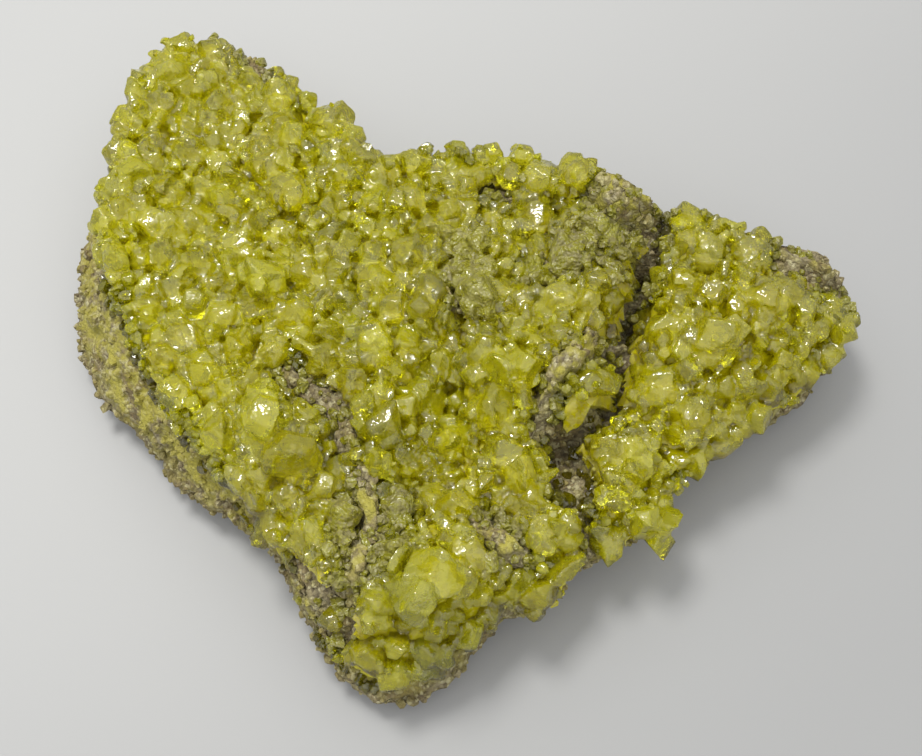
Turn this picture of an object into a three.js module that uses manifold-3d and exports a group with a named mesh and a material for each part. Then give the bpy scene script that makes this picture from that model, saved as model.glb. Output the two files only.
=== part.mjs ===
// Native sulfur on limestone: a hand specimen of grey-brown rock whose top is
// covered with intergrown yellow-green sulfur crystals.
// Millimetres, +Z up, +X along the longest side. The origin is on the flat the
// specimen rests on, under its middle.
import * as THREE from "three";
import { mergeVertices } from "three/addons/utils/BufferGeometryUtils.js";
import Module from "manifold-3d";

const wasm = await Module();
wasm.setup();

// Driving dimensions
const middle = { x: -4, y: 6 }; // every point of the outline is in sight of it
const topLevel = 21.5; // mean height of the rock under the crystals
const waistHeight = 6; // height of the rock's widest line
const footInset = 9; // how far the resting face stays inside the waist
const footRise = 1.5; // height of the resting face's rounded edge
const gap = 0.45; // clearance between the rock and a crust, along the rock's normals
const crustThickness = 3; // of the sugary layer that the crystals stand on
const rockDetail = 8; // subdivision of the rock's surface
const crustDetail = 5; // and of the crust under its crystals
const crystalFoot = 1; // height of a crystal's lowest point over the rock
const lipDepth = 3; // how far a crust hangs over the rock's edge
const lipReach = 1.6; // how far it stands out there
const edgeFacets = 60; // of a crust's outer edge
const above = 70; // clear of the highest crystal
const withinRock = 4; // a height that is inside the rock everywhere
const shortestEdge = 0.02; // shorter ones are merged after the cuts

// The rock's upper edge, clockwise from its north-west tip: x, y, height, and how far
// the widest line lies outside it (minus where the rock is undercut).
const outline = [
  [-63, 79.5, 21, 1], [-52, 82.5, 21, -1], [-42, 73.5, 21, -1], [-35.5, 66, 21, -1],
  [-29, 61, 22, -1], [-23, 53.5, 22, -1], [-19.5, 47.5, 21, 0], [-12.5, 48.5, 23, -1],
  [-2, 49, 24, -1], [6.5, 48.5, 24, -1], [13, 48, 24, -1], [19.5, 44.5, 24, -1],
  [25, 42.5, 27, -1], [30.5, 39.5, 31, -1], [36, 38.5, 33, -2], [39.5, 35.5, 29, -1],
  [46, 33.5, 23, -1], [56, 33.5, 23, -1], [62, 30, 22, -1], [69.5, 28.5, 22, -1],
  [77.5, 26.5, 21, -1], [83, 20.5, 18, 0], [82, 13, 16, 1], [77, 6, 15, 2],
  [71, -1, 15, 3], [64, -7, 16, 0], [60, -10, 16, -3], [56, -14, 16, -5],
  [48, -19.5, 15, -7], [41.5, -24, 14, -8], [40.5, -31, 14, -12], [32.5, -34.5, 14, -8],
  [28.5, -37.5, 14, -8], [22.5, -39.5, 14, -2], [17.5, -46.5, 14, -5], [8, -47.5, 14, 1],
  [2, -52.5, 13, 2], [-5, -58.5, 11, 4], [-11.5, -61.5, 9, 5], [-17.5, -60, 9, 5],
  [-24.5, -55, 11, 3], [-29, -47.5, 14, 1], [-33.5, -40, 16, 0], [-39, -32, 18, 0],
  [-45, -24, 21, 4], [-51.5, -17, 22, 8], [-58.5, -8.5, 23, 8], [-65, 2.5, 24, 14],
  [-70, 11.5, 24, 14], [-74, 20, 24, 12], [-76, 30.5, 24, 10], [-75, 42, 24, 8],
  [-74.5, 55, 24, 4], [-72, 63.5, 24, 2], [-71, 73, 23, 1],
].map(([x, y, height, skirt]) => ({ x, y, height, skirt }));

// Rises and hollows of the rock's top: place, reach along and across, turn in degrees, rise.
const relief = [
  { name: "west crest", at: [-62, -1], reach: [30, 6], turn: -57, rise: 2.5 },
  { name: "west dish", at: [-50, 40], reach: [30, 22], turn: 80, rise: -2 },
  { name: "north boss", at: [1, 14], reach: [11, 7], turn: 0, rise: 6 },
  { name: "bright pair", at: [9, -1], reach: [8, 6], turn: -60, rise: 4 },
  { name: "knob", at: [34, 35], reach: [7, 8], turn: 0, rise: 11 },
  { name: "upper ridge", at: [27, 20], reach: [11, 7], turn: 70, rise: 8 },
  { name: "lower ridge", at: [22, -3], reach: [10, 6], turn: 80, rise: 8 },
  { name: "upper cleft", at: [38, 20], reach: [13, 4.5], turn: 80, rise: -12 },
  { name: "lower cleft", at: [32.5, 0], reach: [11, 4], turn: 75, rise: -11 },
  { name: "pit", at: [20.5, -16], reach: [5.5, 5], turn: 0, rise: -13 },
  { name: "hollow", at: [-4, -6], reach: [12, 8], turn: 80, rise: -8 },
  { name: "south hollow", at: [-6, -25], reach: [10, 8], turn: 80, rise: -6 },
  { name: "dusty ridge", at: [-17, -14], reach: [22, 5], turn: 85, rise: 4 },
  { name: "south-west ledge", at: [-37, -15], reach: [10, 7], turn: -45, rise: 4 },
  { name: "west window", at: [-29, -7], reach: [7, 5], turn: -50, rise: -3.5 },
  { name: "crevice", at: [-25, -21], reach: [4, 3], turn: 60, rise: -6 },
  { name: "south boss", at: [-7, -42], reach: [9, 8], turn: 0, rise: 5 },
  { name: "south knob", at: [8, -38], reach: [7, 6], turn: 0, rise: 2 },
  { name: "east boss", at: [48, 3], reach: [10, 8], turn: 0, rise: 5 },
  { name: "east block", at: [40, 3], reach: [8, 4], turn: 85, rise: 3.5 },
  { name: "east mound", at: [53, 25], reach: [10, 6], turn: 0, rise: 4 },
  { name: "wedge", at: [60, 12], reach: [9, 4], turn: 0, rise: 4.5 },
  { name: "tip pore", at: [70, 20], reach: [5, 4], turn: 0, rise: -4 },
  { name: "south-east slope", at: [44, -24], reach: [22, 10], turn: 35, rise: -5 },
  { name: "south slope", at: [-13, -60], reach: [14, 10], turn: 0, rise: -7 },
];

// Bare rock, as strips from one point to the next with their half width. The crust is open
// down to the rock along the partings, and the windows only have no crystals.
const partings = [
  { name: "knob", path: [[31, 36], [37, 32]], half: 4.5 },
  { name: "cleft", path: [[43, 37], [41, 27], [35, 14], [33, 0], [31, -9], [22, -14]], half: 2.3 },
  { name: "lower ridge", path: [[34, 4], [27, 4], [18, -5], [15.5, -15]], half: 2.4 },
  { name: "pit", path: [[20, -16], [22, -26]], half: 4.4 },
  { name: "gap below the pit", path: [[22, -26], [28, -46]], half: 1.5 },
  { name: "east tip", path: [[69.5, 26.5], [79, 23]], half: 3.8 },
];
const windows = [
  { name: "west window", path: [[-35, -2.5], [-24, -9], [-22.5, -17]], half: 2.8 },
  { name: "dusty ridge", path: [[-18.5, -25], [-17, -35], [-20, -44]], half: 2.2 },
  { name: "south window", path: [[3.5, -34], [10.5, -40]], half: 2.5 },
  { name: "south-west foot", path: [[-32, -41], [-22, -51]], half: 3.2 },
  { name: "north window", path: [[6, 41.5], [10.5, 39]], half: 1.8 },
  { name: "north-west edge", path: [[-54, 81], [-44, 72]], half: 2 },
];

// The crystals that stand out: x, y, width, length, turn in degrees, habit.
const largeCrystals = [
  [-64.5, 75, 7, 12, 80, "prism"], [-54.5, 69, 5.5, 6, 20, "block"], [-57.5, 51.5, 8, 7, 0, "tablet"],
  [-66.5, 61, 7, 7, 30, "block"], [-50, 67.5, 5, 5, 0, "block"], [-29, 57.5, 9, 9, 15, "block"],
  [-33, 51.5, 5, 10, -20, "prism"], [-37, 40.5, 8.5, 8.5, 0, "block"], [-27, 38, 6, 5, 40, "block"],
  [-26, 32, 4.5, 8.5, 45, "prism"], [-45, 35, 6, 6, 10, "block"], [-68, 34.5, 7, 7, 50, "block"],
  [-47.5, 20.5, 6, 6, 0, "block"], [-40.5, 19, 10, 9, 30, "block"], [-32, 23, 6, 5, 10, "tablet"],
  [-25.5, 20.5, 8.5, 8, 0, "tablet"], [-16, 30.5, 6, 5.5, 60, "block"], [-18.5, 38, 6, 7, 20, "block"],
  [-10.5, 38, 8, 8, 35, "block"], [-10, 46.5, 7, 7, 0, "tablet"], [-1, 49.5, 6, 6, 15, "block"],
  [6.5, 48, 6, 6, 50, "block"], [13, 48, 6, 6, 30, "block"], [7, 34, 6, 6, 0, "block"],
  [16, 33, 7, 7, 25, "block"], [-35, 10.5, 8, 10, -10, "tablet"], [-46, 3, 6.5, 8, 20, "block"],
  [-41, -5.5, 7, 6, 0, "block"], [-39, -14.5, 12, 9, 10, "block"], [-47, -15, 7.5, 8, 45, "block"],
  [-33, -22, 11, 12, 20, "block"], [-42, -25, 7, 8.5, 0, "block"], [-27, -29, 5, 7, 80, "prism"],
  [-29.5, -36.5, 5, 9, 75, "prism"], [-18, 2, 6.5, 8, 0, "block"], [-15, -14.5, 9.5, 11, 10, "block"],
  [-12.5, -31, 7, 9, 80, "block"], [-9, -20, 6.5, 6, 0, "pyramid"], [-3.5, -1.5, 6, 6, 0, "tablet"],
  [5, 1.5, 8, 8, 30, "block"], [12, -3, 8, 9, -30, "block"], [6.5, -10.5, 10.5, 9.5, 20, "block"],
  [8, -20, 9, 9, 0, "tablet"], [-1, -14, 9, 8.5, 30, "block"], [4, 12, 9, 8, 15, "block"],
  [-6, 13, 8, 7, 50, "block"], [20, 12, 8, 8.5, 0, "block"], [24.5, 9.5, 4.5, 9, 60, "prism"],
  [29.5, 13, 6, 8, 20, "block"], [25, -5.5, 6.5, 7, 0, "block"], [33, -19, 8, 8, 15, "block"],
  [10.5, -28, 6, 10, -30, "prism"], [-1, -30, 8.5, 9, 30, "block"], [-6.5, -46, 12, 13, 0, "tablet"],
  [20, -35.5, 6.5, 7, 0, "pyramid"], [14.5, -46, 8, 8, 25, "block"], [5, -49, 6.5, 6, 50, "block"],
  [-6, -56, 9, 6, 10, "tablet"], [-17.5, -56, 8, 8, 0, "block"], [-25, -50, 5, 5.5, 30, "block"],
  [36, -32, 9.5, 8, 10, "pyramid"], [40, -24.5, 5, 5.5, 20, "pyramid"], [46, -19, 6.5, 6.5, 0, "block"],
  [50, 2.5, 10.5, 12.5, 15, "block"], [40.5, 4, 7.5, 10, 80, "prism"], [61, -4, 7.5, 7, 0, "block"],
  [60, 10.5, 6.5, 13, 5, "prism"], [51, 24, 8, 7, 20, "block"], [59.5, 24, 8, 8, 0, "block"],
  [75.5, 5, 6.5, 6.5, 30, "block"], [46, 17, 8, 8, 60, "block"], [44, -11.5, 6, 5.5, 0, "tablet"],
].map(([x, y, width, length, turn, habit]) => ({ x, y, width, length, turn, habit }));

// The crystals between them, sown at random until so many tries have failed in a row.
const sowing = { seed: 20, width: [6.4, 9.6], crowding: 0.95, tries: 900, fromBare: 0.3 };

// A habit is its outline from the top face down, as shares of half its width and height,
// with its number of sides and its height as a share of its width.
const habits = {
  block: { sides: 4, tall: 0.95, profile: [[0.55, 1], [1, 0.25], [0.55, -1]] },
  tablet: { sides: 5, tall: 0.75, profile: [[0.68, 1], [1, 0.45], [0.6, -1]] },
  prism: { sides: 4, tall: 0.9, profile: [[0.5, 1], [1, 0.6], [0.9, -1]] },
  pyramid: { sides: 4, tall: 1.1, profile: [[0.22, 1], [1, -0.1], [0.5, -1]] },
};

const crusts = [
  { name: "main_crust", at: [-45, 28] },
  { name: "east_crust", at: [50, 3] },
  { name: "ridge_crystals", at: [25, -5.5] },
];

const radians = THREE.MathUtils.degToRad;
const mix = THREE.MathUtils.lerp;
const smooth = THREE.MathUtils.smoothstep;

// The outline as it is met turning around the middle
const stations = outline
  .map((p) => ({
    angle: Math.atan2(p.y - middle.y, p.x - middle.x),
    radius: Math.hypot(p.x - middle.x, p.y - middle.y),
    height: p.height,
    skirt: p.skirt,
  }))
  .sort((a, b) => a.angle - b.angle);

function rimAt(angle) {
  const n = stations.length;
  let next = stations.findIndex((s) => s.angle > angle);
  if (next < 0) next = 0;
  const before = stations[(next + n - 1) % n];
  const after = stations[next];
  const turn = 2 * Math.PI;
  const span = (after.angle - before.angle + turn) % turn;
  const share = ((angle - before.angle + turn) % turn) / span;
  return {
    radius: mix(before.radius, after.radius, share),
    height: mix(before.height, after.height, share),
    skirt: mix(before.skirt, after.skirt, share),
  };
}

// Uneven bumps of the broken rock, about plus and minus one, at a wavelength of size.
function roughness(x, y, z, size) {
  const k = (2 * Math.PI) / size;
  const a = Math.sin(k * (x + 0.6 * y) + 1.3 * Math.sin(k * 0.7 * z + 0.4));
  const b = Math.sin(k * (0.8 * y - 0.5 * x) + 2.1 + 1.1 * Math.sin(k * 0.6 * x));
  const c = Math.sin(k * (0.9 * z + 0.3 * y) + 0.7);
  return (a + b + c) / 2;
}

function rockTop(x, y) {
  let height = topLevel;
  for (const { at, reach, turn, rise } of relief) {
    const [c, s] = [Math.cos(radians(turn)), Math.sin(radians(turn))];
    const [dx, dy] = [x - at[0], y - at[1]];
    const along = (dx * c + dy * s) / reach[0];
    const across = (dy * c - dx * s) / reach[1];
    height += rise * Math.exp(-(along * along + across * across));
  }
  return height + 0.5 * roughness(x, y, 0, 17);
}

// The underside is worn flat in patches, on which the specimen rests, with shallow hollows
// between them.
function rockUnder(x, y, share) {
  const fromOrigin = smooth(Math.hypot(x, y), 14, 40);
  const hollow = Math.max(0, 1.6 * roughness(x + 9, y - 4, 3, 46) + 0.3);
  return hollow * fromOrigin * (1 - share * share) + footRise * smooth(share, 0.9, 1);
}

// The point of the rock's surface for a direction from a ball's centre
function rockPoint(direction) {
  const angle = Math.atan2(direction.y, direction.x);
  const { radius, height, skirt } = rimAt(angle);
  const topLimit = -0.36; // cosine of the polar angle where the top ends
  const waistLimit = -0.6;
  const footLimit = -0.76;
  const waist = radius + skirt;
  const foot = waist - footInset;
  const c = direction.z;
  let plan;
  let z;
  if (c >= topLimit) {
    const share = Math.sqrt((1 - c) / (1 - topLimit));
    plan = radius * share;
    const x = middle.x + plan * Math.cos(angle);
    const y = middle.y + plan * Math.sin(angle);
    z = mix(rockTop(x, y), height, smooth(share, 0.84, 1));
  } else if (c >= waistLimit) {
    const share = (topLimit - c) / (topLimit - waistLimit);
    const x = middle.x + radius * Math.cos(angle);
    const y = middle.y + radius * Math.sin(angle);
    z = mix(height, waistHeight, share);
    const craggy = Math.sin(Math.PI * share) * roughness(x, y, z * 2, 23);
    plan = mix(radius, waist, Math.pow(share, 0.8)) + 1.8 * craggy;
  } else if (c >= footLimit) {
    const share = (waistLimit - c) / (waistLimit - footLimit);
    z = mix(waistHeight, footRise, Math.pow(share, 1.3));
    plan = mix(waist, foot, share * share);
  } else {
    const share = Math.sqrt((1 + c) / (1 + footLimit));
    plan = foot * share;
    const x = middle.x + plan * Math.cos(angle);
    const y = middle.y + plan * Math.sin(angle);
    z = rockUnder(x, y, share);
  }
  return [middle.x + plan * Math.cos(angle), middle.y + plan * Math.sin(angle), z];
}

function rockGeometry(detail) {
  const ball = new THREE.IcosahedronGeometry(1, detail);
  ball.deleteAttribute("normal");
  ball.deleteAttribute("uv");
  const geometry = mergeVertices(ball, 1e-4);
  const place = geometry.getAttribute("position");
  const direction = new THREE.Vector3();
  for (let i = 0; i < place.count; i++) {
    direction.fromBufferAttribute(place, i).normalize();
    place.setXYZ(i, ...rockPoint(direction));
  }
  return geometry;
}

// The room that a crust leaves free: the rock with its surface moved out
function roomForRock() {
  const geometry = rockGeometry(rockDetail);
  geometry.computeVertexNormals();
  const place = geometry.getAttribute("position");
  const normal = geometry.getAttribute("normal");
  for (let i = 0; i < place.count; i++) {
    const moved = new THREE.Vector3().fromBufferAttribute(normal, i).multiplyScalar(gap);
    place.setXYZ(i, place.getX(i) + moved.x, place.getY(i) + moved.y, place.getZ(i) + moved.z);
  }
  return solidOf(geometry);
}

// Between three.js meshes and manifold-3d solids
function solidOf(geometry) {
  const bare = geometry.index ? geometry.toNonIndexed() : geometry.clone();
  bare.deleteAttribute("normal");
  bare.deleteAttribute("uv");
  const merged = mergeVertices(bare, 1e-4);
  return new wasm.Manifold(
    new wasm.Mesh({
      numProp: 3,
      vertProperties: new Float32Array(merged.getAttribute("position").array),
      triVerts: new Uint32Array(merged.index.array),
    }),
  );
}

function geometryOf(solid) {
  const mesh = solid.getMesh();
  const geometry = new THREE.BufferGeometry();
  const places = new THREE.BufferAttribute(new Float32Array(mesh.vertProperties), 3);
  geometry.setAttribute("position", places);
  geometry.setIndex(new THREE.BufferAttribute(new Uint32Array(mesh.triVerts), 1));
  return geometry;
}

// A plain repeatable source of random numbers from 0 to 1
function randomSource(seed) {
  const [factor, modulus] = [48271, 2147483647];
  let state = seed;
  return () => {
    state = (state * factor) % modulus;
    return state / modulus;
  };
}

// Distance from a point to the nearest bare rock
function distanceToBare(x, y) {
  let nearest = Infinity;
  for (const { path, half } of [...partings, ...windows]) {
    for (let i = 1; i < path.length; i++) {
      const [ax, ay] = path[i - 1];
      const [bx, by] = path[i];
      const [dx, dy] = [bx - ax, by - ay];
      const along = ((x - ax) * dx + (y - ay) * dy) / (dx * dx + dy * dy);
      const t = Math.min(1, Math.max(0, along));
      nearest = Math.min(nearest, Math.hypot(x - ax - t * dx, y - ay - t * dy) - half);
    }
  }
  return nearest;
}

// Distance from a point inwards to the rock's edge, measured along its ray from the middle
function distanceToEdge(x, y) {
  const [dx, dy] = [x - middle.x, y - middle.y];
  return rimAt(Math.atan2(dy, dx)).radius - Math.hypot(dx, dy);
}

function sowCrystals() {
  const crystals = largeCrystals.map((c) => ({ ...c, reach: (c.width + c.length) / 4 }));
  const random = randomSource(sowing.seed);
  let failures = 0;
  while (failures < sowing.tries) {
    const x = -84 + 168 * random();
    const y = -68 + 152 * random();
    const [least, most] = sowing.width;
    const width = least + (most - least) * random() * random();
    const reach = width * 0.53;
    const free = crystals.every(
      (c) => Math.hypot(c.x - x, c.y - y) > sowing.crowding * (c.reach + reach),
    );
    if (!free || distanceToEdge(x, y) < 1 || distanceToBare(x, y) < sowing.fromBare * width) {
      failures += 1;
      continue;
    }
    failures = 0;
    const turn = 360 * random();
    const choice = random();
    const habit = choice < 0.62 ? "block" : choice < 0.8 ? "tablet" : choice < 0.92 ? "prism" : "pyramid";
    const length = width * (habit === "prism" ? 1.45 : 1.12);
    crystals.push({ x, y, width, length, turn, habit, reach });
  }
  return crystals;
}

// One crystal: its habit, laid on its side if it is a prism, tipped and stood on the rock
function crystalGeometry({ x, y, width, length, turn, habit }, random) {
  const { sides, tall, profile } = habits[habit];
  const points = profile.map(([r, h]) => new THREE.Vector2(r, h));
  points.push(new THREE.Vector2(0, points.at(-1).y));
  points.unshift(new THREE.Vector2(0, points[0].y));
  const geometry = new THREE.LatheGeometry(points.reverse(), sides).rotateX(Math.PI / 2);
  geometry.rotateZ(2 * Math.PI * random());
  if (habit === "prism") geometry.rotateY(Math.PI / 2);
  geometry.scale(length / 2, width / 2, (width * tall) / 2);
  const steep = habit === "prism" ? 15 : 42;
  geometry.rotateX(radians(steep * (random() - 0.5) * 2));
  geometry.rotateY(radians(steep * (random() - 0.5) * 2));
  geometry.rotateZ(radians(turn));
  geometry.computeBoundingBox();
  const rise = crystalFoot - geometry.boundingBox.min.z;
  geometry.translate(x, y, surfaceAt(x, y) + rise);
  return geometry;
}

// Height of the rock's top with its fall to the edge
function surfaceAt(x, y) {
  const [dx, dy] = [x - middle.x, y - middle.y];
  const rim = rimAt(Math.atan2(dy, dx));
  const share = Math.hypot(dx, dy) / rim.radius;
  return mix(rockTop(x, y), rim.height, smooth(share, 0.84, 1));
}

// Everything over the rock's edge line, a little wider than it, down to the lip's foot
function overTheEdge() {
  const geometry = new THREE.CylinderGeometry(1, 1, 1, edgeFacets);
  geometry.rotateX(Math.PI / 2);
  const place = geometry.getAttribute("position");
  for (let i = 0; i < place.count; i++) {
    const [x, y, z] = [place.getX(i), place.getY(i), place.getZ(i)];
    const onRim = Math.hypot(x, y) > 0.5;
    const angle = Math.atan2(y, x);
    const rim = rimAt(angle);
    const plan = onRim ? rim.radius + lipReach : 0;
    const low = onRim ? rim.height - lipDepth : withinRock;
    const [px, py] = [middle.x + plan * Math.cos(angle), middle.y + plan * Math.sin(angle)];
    place.setXYZ(i, px, py, z > 0 ? above : low);
  }
  return solidOf(geometry);
}

// An upright wall with round ends around one stretch of a strip
function stripWall([ax, ay], [bx, by], half) {
  const shape = new THREE.Shape();
  const heading = Math.atan2(by - ay, bx - ax);
  shape.absarc(bx, by, half, heading - Math.PI / 2, heading + Math.PI / 2);
  shape.absarc(ax, ay, half, heading + Math.PI / 2, heading + Math.PI * 1.5);
  const wall = new THREE.ExtrudeGeometry(shape, {
    depth: above + 10,
    bevelEnabled: false,
    curveSegments: 2,
  });
  wall.translate(0, 0, -5);
  return solidOf(wall);
}

function crystalCrust() {
  const layer = rockGeometry(crustDetail).translate(0, 0, crustThickness);
  let crust = solidOf(layer).intersect(overTheEdge());
  for (const { path, half } of partings) {
    for (let i = 1; i < path.length; i++) {
      crust = crust.subtract(stripWall(path[i - 1], path[i], half));
    }
  }
  const random = randomSource(sowing.seed + 1);
  const crystals = sowCrystals().map((c) => solidOf(crystalGeometry(c, random)));
  for (const crystal of crystals) crust = crust.add(crystal);
  return crust.subtract(roomForRock()).simplify(shortestEdge);
}

// The body of a cut solid that stands over a place
function bodyOver(bodies, [x, y]) {
  const probe = new THREE.BoxGeometry(1, 1, above);
  probe.translate(x, y, above / 2);
  const probeSolid = solidOf(probe);
  return bodies.find((body) => !body.intersect(probeSolid).isEmpty());
}

const rockMaterial = new THREE.MeshStandardMaterial({
  color: new THREE.Color(0.4, 0.34, 0.26),
  roughness: 0.95,
  metalness: 0,
});
const sulfurMaterial = new THREE.MeshStandardMaterial({
  color: new THREE.Color(0.72, 0.74, 0.1),
  roughness: 0.25,
  metalness: 0,
});

function pieceMesh(name, geometry, material) {
  const mesh = new THREE.Mesh(geometry, material);
  mesh.name = name;
  geometry.computeVertexNormals();
  return mesh;
}

const specimen = new THREE.Group();
specimen.add(pieceMesh("rock_matrix", rockGeometry(rockDetail), rockMaterial));
const bodies = crystalCrust().decompose();
for (const { name, at } of crusts) {
  specimen.add(pieceMesh(name, geometryOf(bodyOver(bodies, at)), sulfurMaterial));
}

export default specimen;
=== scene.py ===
import math

import bpy
import numpy as np
from mathutils import Matrix, Vector
from mathutils.bvhtree import BVHTree


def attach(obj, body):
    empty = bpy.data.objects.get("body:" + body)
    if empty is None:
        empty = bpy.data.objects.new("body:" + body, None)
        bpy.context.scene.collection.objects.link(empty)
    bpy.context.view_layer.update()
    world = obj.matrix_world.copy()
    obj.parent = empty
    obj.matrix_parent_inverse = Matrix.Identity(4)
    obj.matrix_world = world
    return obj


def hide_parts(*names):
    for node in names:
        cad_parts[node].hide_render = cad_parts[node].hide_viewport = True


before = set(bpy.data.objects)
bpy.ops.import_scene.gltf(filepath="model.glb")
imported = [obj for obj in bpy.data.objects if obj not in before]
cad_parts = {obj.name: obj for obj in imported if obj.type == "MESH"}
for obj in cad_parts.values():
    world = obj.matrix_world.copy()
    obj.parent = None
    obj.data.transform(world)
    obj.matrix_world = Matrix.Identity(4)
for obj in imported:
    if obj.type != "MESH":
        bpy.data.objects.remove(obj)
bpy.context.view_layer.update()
print("frame loaded:", sorted(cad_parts))

mm = 0.001

# The specimen's plan, in millimetres, as the solids have it
middle = (-4, 6)
outline = [
    (-63, 79.5), (-52, 82.5), (-42, 73.5), (-35.5, 66), (-29, 61), (-23, 53.5), (-19.5, 47.5),
    (-12.5, 48.5), (-2, 49), (6.5, 48.5), (13, 48), (19.5, 44.5), (25, 42.5), (30.5, 39.5),
    (36, 38.5), (39.5, 35.5), (46, 33.5), (56, 33.5), (62, 30), (69.5, 28.5), (77.5, 26.5),
    (83, 20.5), (82, 13), (77, 6), (71, -1), (64, -7), (60, -10), (56, -14), (48, -19.5),
    (41.5, -24), (40.5, -31), (32.5, -34.5), (28.5, -37.5), (22.5, -39.5), (17.5, -46.5),
    (8, -47.5), (2, -52.5), (-5, -58.5), (-11.5, -61.5), (-17.5, -60), (-24.5, -55),
    (-29, -47.5), (-33.5, -40), (-39, -32), (-45, -24), (-51.5, -17), (-58.5, -8.5),
    (-65, 2.5), (-70, 11.5), (-74, 20), (-76, 30.5), (-75, 42), (-74.5, 55), (-72, 63.5),
    (-71, 73),
]
bareStrips = [  # path, half width of the bare rock between the crystals, and how far it stands up there
    ([(31, 36), (37, 32)], 4.5, 4.5),
    ([(43, 37), (41, 27), (35, 14), (33, 0), (31, -9), (22, -14)], 2.3, 0),
    ([(34, 4), (27, 4), (18, -5), (15.5, -15)], 2.4, 5.5),
    ([(20, -16), (22, -26)], 4.4, -1.5),
    ([(22, -26), (28, -46)], 1.5, 1),
    ([(69.5, 26.5), (79, 23)], 3.8, 3),
    ([(-35, -2.5), (-24, -9), (-22.5, -17)], 2.8, 4.5),
    ([(-18.5, -25), (-17, -35), (-20, -44)], 2.2, 5),
    ([(3.5, -34), (10.5, -40)], 2.5, 5),
    ([(-32, -41), (-22, -51)], 3.2, 3),
    ([(6, 41.5), (10.5, 39)], 1.8, 2.5),
    ([(-54, 81), (-44, 72)], 2, 2),
]
rockPatches = [  # the same for rock that shows through the crystals
    ([(67, 22), (73, 20)], 3.4, 3.5),
    ([(77, 20), (80, 16)], 2.2, 2.5),
    ([(17, 22), (21, 19)], 1.3, 5),
    ([(24, 27), (27, 24)], 1.2, 5),
    ([(-3, 14), (-1, 11)], 1.2, 4.5),
]
eastOf = [  # y and x of the line between the main and the east crust
    (-60, 28), (-46, 28), (-26, 22), (-14, 22), (-9, 31), (0, 33), (14, 35), (27, 41), (37, 43), (60, 43),
]
ridgeGroup = [(34, 3), (27, 4), (18, -5), (15.5, -15), (22, -14), (31, -9), (33, 0)]

# The crystals that stand out: x, y, width, length, turn, habit
landmarks = [
    (-64.5, 75, 7, 12, 80, "prism"), (-54.5, 69, 5.5, 6, 20, "block"), (-57.5, 51.5, 8, 7, 0, "tablet"),
    (-66.5, 61, 7, 7, 30, "block"), (-50, 67.5, 5, 5, 0, "block"), (-29, 57.5, 9, 9, 15, "block"),
    (-33, 51.5, 5, 10, -20, "prism"), (-37, 40.5, 8.5, 8.5, 0, "block"), (-27, 38, 6, 5, 40, "block"),
    (-26, 32, 4.5, 8.5, 45, "prism"), (-45, 35, 6, 6, 10, "block"), (-68, 34.5, 7, 7, 50, "block"),
    (-47.5, 20.5, 6, 6, 0, "block"), (-40.5, 19, 10, 9, 30, "block"), (-32, 23, 6, 5, 10, "tablet"),
    (-25.5, 20.5, 8.5, 8, 0, "tablet"), (-16, 30.5, 6, 5.5, 60, "block"), (-18.5, 38, 6, 7, 20, "block"),
    (-10.5, 38, 8, 8, 35, "block"), (-10, 46.5, 7, 7, 0, "tablet"), (-1, 49.5, 6, 6, 15, "block"),
    (6.5, 48, 6, 6, 50, "block"), (13, 48, 6, 6, 30, "block"), (7, 34, 6, 6, 0, "block"),
    (16, 33, 7, 7, 25, "block"), (-35, 10.5, 8, 10, -10, "tablet"), (-46, 3, 6.5, 8, 20, "block"),
    (-41, -5.5, 7, 6, 0, "block"), (-39, -14.5, 12, 9, 10, "block"), (-47, -15, 7.5, 8, 45, "block"),
    (-33, -22, 11, 12, 20, "block"), (-42, -25, 7, 8.5, 0, "block"), (-27, -29, 5, 7, 80, "prism"),
    (-29.5, -36.5, 5, 9, 75, "prism"), (-18, 2, 6.5, 8, 0, "block"), (-15, -14.5, 9.5, 11, 10, "block"),
    (-12.5, -31, 7, 9, 80, "block"), (-9, -20, 6.5, 6, 0, "pyramid"), (-3.5, -1.5, 6, 6, 0, "tablet"),
    (5, 1.5, 8, 8, 30, "block"), (12, -3, 8, 9, -30, "block"), (6.5, -10.5, 10.5, 9.5, 20, "block"),
    (8, -20, 9, 9, 0, "tablet"), (-1, -14, 9, 8.5, 30, "block"), (4, 12, 9, 8, 15, "block"),
    (-6, 13, 8, 7, 50, "block"), (20, 12, 8, 8.5, 0, "block"), (24.5, 9.5, 4.5, 9, 60, "prism"),
    (29.5, 13, 6, 8, 20, "block"), (25, -5.5, 6.5, 7, 0, "block"), (33, -19, 8, 8, 15, "block"),
    (10.5, -28, 6, 10, -30, "prism"), (-1, -30, 8.5, 9, 30, "block"), (-6.5, -46, 12, 13, 0, "tablet"),
    (20, -35.5, 6.5, 7, 0, "pyramid"), (14.5, -46, 8, 8, 25, "block"), (5, -49, 6.5, 6, 50, "block"),
    (-6, -56, 9, 6, 10, "tablet"), (-17.5, -56, 8, 8, 0, "block"), (-25, -50, 5, 5.5, 30, "block"),
    (36, -32, 9.5, 8, 10, "pyramid"), (40, -24.5, 5, 5.5, 20, "pyramid"), (46, -19, 6.5, 6.5, 0, "block"),
    (50, 2.5, 10.5, 12.5, 15, "block"), (40.5, 4, 7.5, 10, 80, "prism"), (61, -4, 7.5, 7, 0, "block"),
    (60, 10.5, 6.5, 13, 5, "prism"), (51, 24, 8, 7, 20, "block"), (59.5, 24, 8, 8, 0, "block"),
    (75.5, 5, 6.5, 6.5, 30, "block"), (46, 17, 8, 8, 60, "block"), (44, -11.5, 6, 5.5, 0, "tablet"),
]

rimAngles = np.arctan2([y - middle[1] for x, y in outline], [x - middle[0] for x, y in outline])
rimRadii = np.hypot([y - middle[1] for x, y in outline], [x - middle[0] for x, y in outline])
rimOrder = np.argsort(rimAngles)


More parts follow.
